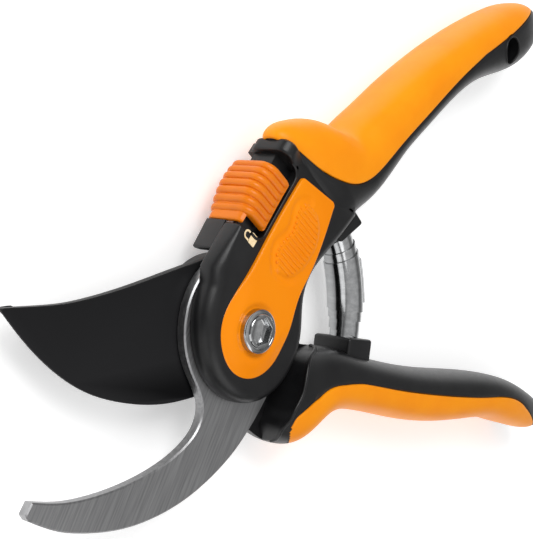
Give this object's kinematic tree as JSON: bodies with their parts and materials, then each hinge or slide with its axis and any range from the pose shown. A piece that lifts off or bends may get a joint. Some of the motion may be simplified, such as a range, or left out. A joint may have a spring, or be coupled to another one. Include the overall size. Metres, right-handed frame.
{
  "type": "pruning shears",
  "caption": "Bypass pruning shears with a curved coated blade, a steel hook, two-tone handles, a volute return spring and a sliding lock, shown open.",
  "frame": {"origin": "on the pivot axis, on the flat back face that the shears rest on", "axes": "+Z out of the front cover along the pivot axis; +X back between the two open handles, the blade and hook point to -X; +Y towards the upper (hook) handle"},
  "size_m": [0.2208, 0.141, 0.0222],
  "materials": {
    "black_nylon": "satin black glass-filled nylon",
    "orange_soft_touch": "soft-touch satin orange",
    "orange_gloss": "glossy orange",
    "orange_slider": "semi-gloss ribbed orange",
    "hook_steel": "brushed stainless steel",
    "plain_steel": "turned steel",
    "bright_chrome": "bright chromed steel",
    "black_coating": "matte black non-stick coating"
  },
  "bodies": {
    "upper": {"upper_handle_core": "black_nylon", "upper_grip": "orange_soft_touch", "cover_plate": "orange_gloss", "hook_blade": "hook_steel", "hook_pins": "plain_steel", "upper_spring_seat": "black_nylon", "pivot_bolt": "bright_chrome", "pivot_washer": "plain_steel", "pivot_sleeve_nut": "plain_steel", "detent_leaf": "plain_steel", "volute_spring": "bright_chrome"},
    "lower": {"lower_handle_core": "black_nylon", "lower_grip": "orange_soft_touch", "cutting_blade": "black_coating", "blade_pins": "plain_steel", "lower_spring_seat": "black_nylon", "pivot_bush": "plain_steel", "back_cover": "black_nylon"},
    "lock": {"lock_slider": "orange_slider", "lock_tongue": "plain_steel"}
  },
  "joints": [
    {"name": "pivot", "type": "hinge", "parent": "upper", "child": "lower", "pos_m": [0, 0, 0.0105], "axis": [0, 0, 1], "range_deg": [0, 35], "stiffness_Nm_per_rad": 1, "springref_deg": -20.05, "deforming": ["volute_spring"]},
    {"name": "lock_slide", "type": "slide", "parent": "upper", "child": "lock", "axis": [0.7431, 0.6691, 0], "range_m": [0, 0.004]}
  ]
}
